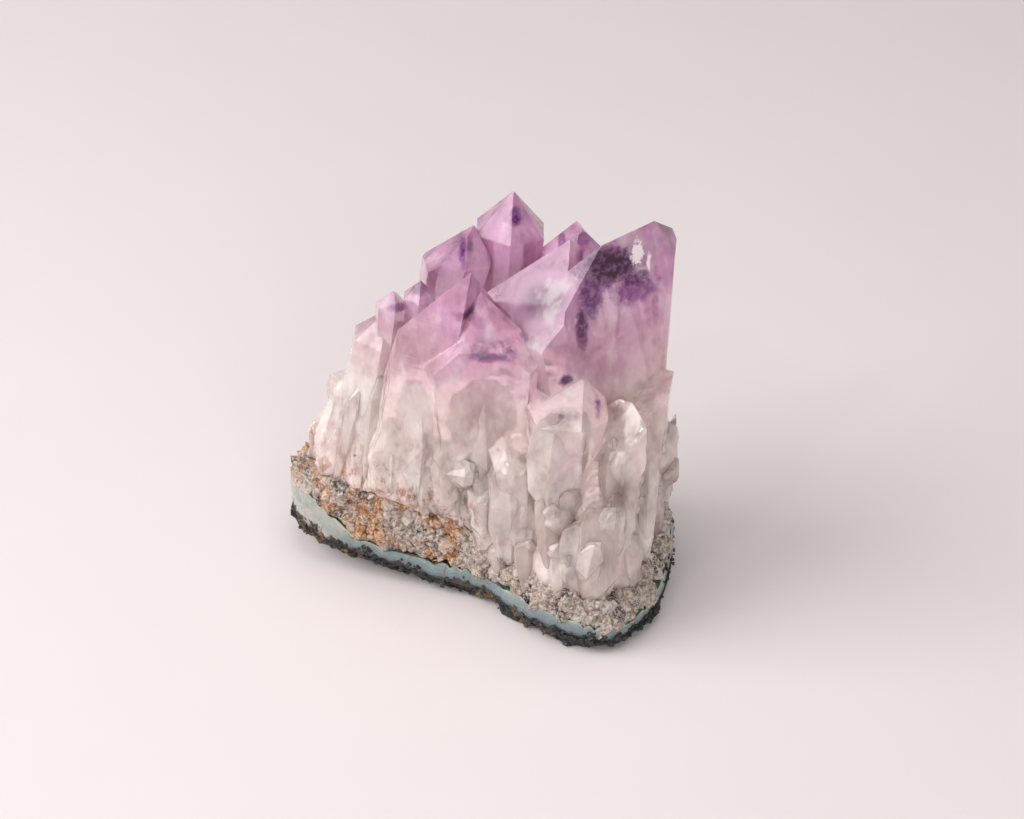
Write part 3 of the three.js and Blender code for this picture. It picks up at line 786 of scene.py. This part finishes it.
# The larger wedges of the broken front: low end, high end, radius.
LARGE = np.array([
    [21.5, -23.0, 7.5, 21.5, -19.5, 26.5, 5.0], [5.7, -17.0, 12.0, 5.3, -16.0, 35.0, 4.6],
    [0.6, -12.8, 12.0, 0.3, -13.5, 27.0, 3.0], [13.0, -21.5, 13.5, 12.3, -18.0, 32.0, 3.3],
    [14.6, -23.6, 8.0, 14.2, -20.6, 18.0, 2.4], [13.6, -20.0, 25.0, 15.3, -17.0, 44.0, 6.0],
    [28.2, -13.5, 17.0, 23.8, -14.5, 38.0, 1.2], [30.6, -10.5, 9.0, 31.0, -9.0, 36.0, 2.6],
    [28.3, -17.0, 7.0, 27.2, -12.5, 17.0, 3.0], [8.9, -20.0, 8.0, 8.3, -17.6, 19.0, 2.5],
    [3.6, -15.2, 8.5, 2.9, -13.6, 14.5, 2.2], [-13.2, -8.0, 22.0, -12.2, -9.0, 46.0, 4.4],
    [1.0, -12.0, 26.0, 0.1, -11.6, 48.0, 6.6], [-7.2, -10.8, 20.0, -7.2, -11.0, 36.0, 2.6],
    [-4.8, -10.6, 17.0, -4.8, -12.0, 33.0, 2.6], [-27.2, 0.8, 19.0, -22.4, 1.6, 39.0, 3.0],
    [-21.8, -1.6, 18.5, -18.8, 0.0, 42.0, 3.2], [-17.2, -6.2, 20.0, -16.2, -6.8, 38.0, 2.4],
    [25.0, -18.0, 17.0, 24.2, -15.0, 36.0, 3.0], [-1.8, -11.6, 16.0, -2.2, -12.4, 28.0, 2.2],
    [-11.0, -8.4, 17.5, -10.4, -9.2, 30.0, 2.4], [33.0, -3.5, 8.0, 32.0, -3.0, 30.0, 2.4],
    [17.6, -22.6, 9.0, 17.4, -19.0, 24.0, 2.4], [9.6, -18.2, 16.0, 9.4, -15.6, 31.0, 2.6],
])
SET_BACK = 0.35  # how far a large wedge is moved in, in radii
WEDGE_TOP = 50
milky_look = quartz("milky quartz", 0.38, 0.45, 0.8, WEDGE_TOP)
inward = LARGE[:, 6:] * SET_BACK * (LARGE[:, :3] - [2.5, 0.7, 0]) * [1, 1, 0]
inward = inward / np.linalg.norm(LARGE[:, :2] - MIDDLE, axis=1, keepdims=True)
wedges("large_wedges", LARGE[:, :3] - inward, LARGE[:, 3:6] - inward, LARGE[:, 6], 3, milky_look)

# Smaller ones crowd round the foot on every side, lower in front and at the left end than behind. Each stands where
# a level line towards the middle of the piece meets the columns.
SMALL_WEDGES = 280
tree = BVHTree.FromPolygons([v.co for v in source.data.vertices], [p.vertices[:] for p in source.data.polygons])
draw = np.random.default_rng(12)
found = []
while len(found) < SMALL_WEDGES:
    angle, level = draw.uniform(0, 2 * math.pi), draw.uniform(9, 36)
    heading = Vector((math.cos(angle), math.sin(angle), 0))
    start = Vector((MIDDLE[0] * MM, MIDDLE[1] * MM, level * MM)) + heading * 0.09
    spot, facing, _, _ = tree.ray_cast(start, -heading)
    if spot is None:
        continue
    spot = np.array(spot) / MM
    top = 19 if spot[0] < -6 and spot[1] < 2 else 25 if spot[1] < 2 else 31
    if level < top + 5 * draw.uniform(-1, 1) and not (spot[0] < -16 and level > 16):
        found.append(np.concatenate([spot, np.array(facing)]))
found = np.array(found)
radius = draw.uniform(1.0, 3.0, len(found))
low = found[:, :3] - found[:, 3:] * (radius * 0.5)[:, None]
lean = draw.normal(size=(len(found), 3)) * 0.24 + [0, 0, 1.0] - found[:, 3:] * [0.12, 0.12, 0]
high = low + lean * (radius * draw.uniform(1.8, 3.4, len(found)))[:, None]
clear_look = quartz("clear quartz", 0.44, 0.5, 0.8, WEDGE_TOP)
wedges("small_wedges", low, high, radius, 14, clear_look, sides=6, uneven=0.22)


# ---------------------------------------------------------------- sealed in the quartz
def clouds(name, centres, radii, seed, finish, columns=40, rows=24):
    """Flattened egg shapes: a sphere's points, by turn and by height, times three radii, roughened. The fade
    attribute is 1 on the broad side and 0 at the rim that is seen edge on from in front."""
    turn, rise = np.meshgrid(np.arange(columns) / columns * 2 * math.pi,
                             np.linspace(-0.5, 0.5, rows + 2)[1:-1] * math.pi)
    ball = np.stack([np.cos(rise) * np.cos(turn), np.cos(rise) * np.sin(turn), np.sin(rise)], -1)
    every, all_faces, fade = [], [], []
    for centre, radius in zip(centres, radii):
        grid = np.array(centre) + ball * np.array(radius)
        grid = grid + ball * (0.25 * min(radius) * rough(grid, 2.0, seed, 2))[..., None]
        flat, faces = closed(grid, ring_faces(rows, columns))
        start = sum(len(part) for part in every)
        all_faces += [[corner + start for corner in face] for face in faces]
        every.append(flat)
        edge = smooth(1 - np.hypot(ball[..., 0], ball[..., 2]), 0.0, 0.5)
        fade += edge.ravel().tolist() + [0, 0]
    made = piece(name, np.vstack(every), all_faces, finish)
    attribute(made, "fade", fade)
    return made


# Centre and radii in mm.
SEALED = [
    ((24.2, 0.0, 65.5), (6.0, 1.4, 3.2)), ((19.2, -4.0, 60.0), (1.4, 1.2, 6.5)),
    ((15.4, -9.6, 48.2), (1.6, 1.0, 1.5)), ((1.2, -11.6, 54.6), (5.5, 1.2, 1.4)),
    ((-15.4, 3.2, 54.4), (1.6, 1.0, 1.0)), ((5.8, 15.5, 65.4), (1.8, 1.4, 2.6)),
    ((-3.2, 12.2, 61.6), (1.2, 1.2, 3.4)), ((17.2, 12.0, 62.6), (3.2, 1.4, 1.8)),
    ((16.6, -14.6, 43.4), (3.4, 0.9, 1.0)),
]
centres, radii = zip(*SEALED)
zone_look = cloud_finish("purple zone", shade(84, 16, 104), 0.9, 1.2)
clouds("purple_zones", centres, radii, 80, zone_look)

# A milky heart, under the skin of the columns: its height follows the rim's and a power of the share.
HEART_TOP = 46
HEART_OUT = 0.86
out = np.linspace(0.8, 0.04, 26)[:, None]
under = np.linspace(0.1, 0.8, 8)[:, None]
share = np.vstack([under, out]) * np.ones(COLUMNS)
dome = HEART_TOP + (around[None, :, 2:].sum(-1) - HEART_TOP - 3) * (out / HEART_OUT) ** 1.9
height = np.vstack([layer_top(2, around[None], under) + 1.0, dome])
points = lay(share, height, around)[:, ::4]
points = points + outward(points) * (1.2 * rough(points, 5.0, 90))[..., None]
# The heart shines at 0.62: painted light, standing in for light scattered through the milky quartz.
heart_look = cloud_finish("milky heart", shade(240, 220, 214), 0.95, 3.0, 0.62)
heart = ring_body("milky_heart", points, heart_look)
attribute(heart, "fade", np.ones(len(heart.data.vertices)))


# ---------------------------------------------------------------- stage
floor_mesh = bpy.data.meshes.new("table")
floor_mesh.from_pydata([(-3, -3, 0), (3, -3, 0), (3, 5, 0), (-3, 5, 0)], [], [(0, 1, 2, 3)])
floor_mesh.materials.append(floor_finish())
floor = bpy.data.objects.new("table", floor_mesh)
bpy.context.scene.collection.objects.link(floor)


def lamp(name, position, target, size, power, colour=(1, 1, 1)):
    """A square soft light that faces its target."""
    light = bpy.data.lights.new(name, "AREA")
    light.size, light.energy, light.color = size, power, colour
    holder = bpy.data.objects.new(name, light)
    holder.location = position
    holder.rotation_euler = (Vector(target) - Vector(position)).to_track_quat("-Z", "Y").to_euler()
    bpy.context.scene.collection.objects.link(holder)


lamp("window", (-0.58, -0.10, 0.48), (0, 0, 0.03), 0.60, 4.3, (1.0, 0.985, 0.97))
lamp("overhead", (0.0, 0.10, 0.95), (0, 0, 0.03), 0.7, 1.75, (1.0, 0.985, 0.985))
lamp("front fill", (0.15, -0.75, 0.40), (0, 0, 0.04), 0.45, 1.7, (1.0, 0.98, 0.98))
lamp("glint left", (-0.30, -0.42, 0.52), (0, 0, 0.04), 0.05, 0.22, (1.0, 0.98, 0.96))
lamp("glint right", (0.22, -0.30, 0.60), (0, 0, 0.04), 0.05, 0.18, (1.0, 0.98, 0.98))

world = bpy.data.worlds.new("studio")
world.use_nodes = True
world.node_tree.nodes["Background"].inputs["Color"].default_value = (1.0, 0.965, 0.965, 1)
world.node_tree.nodes["Background"].inputs["Strength"].default_value = 0.29
scene = bpy.context.scene
scene.world = world
scene.view_settings.view_transform = "Standard"

camera_data = bpy.data.cameras.new("camera")
camera_data.lens = 100
camera_data.clip_start = 0.01
camera = bpy.data.objects.new("camera", camera_data)
TARGET = Vector((5.65, 0.72, 34.3)) * MM
ELEVATION = math.radians(33)
DISTANCE = 0.512
camera.location = TARGET + Vector((0, -math.cos(ELEVATION), math.sin(ELEVATION))) * DISTANCE
camera.rotation_euler = (math.pi / 2 - ELEVATION, 0, 0)
scene.collection.objects.link(camera)
scene.camera = camera
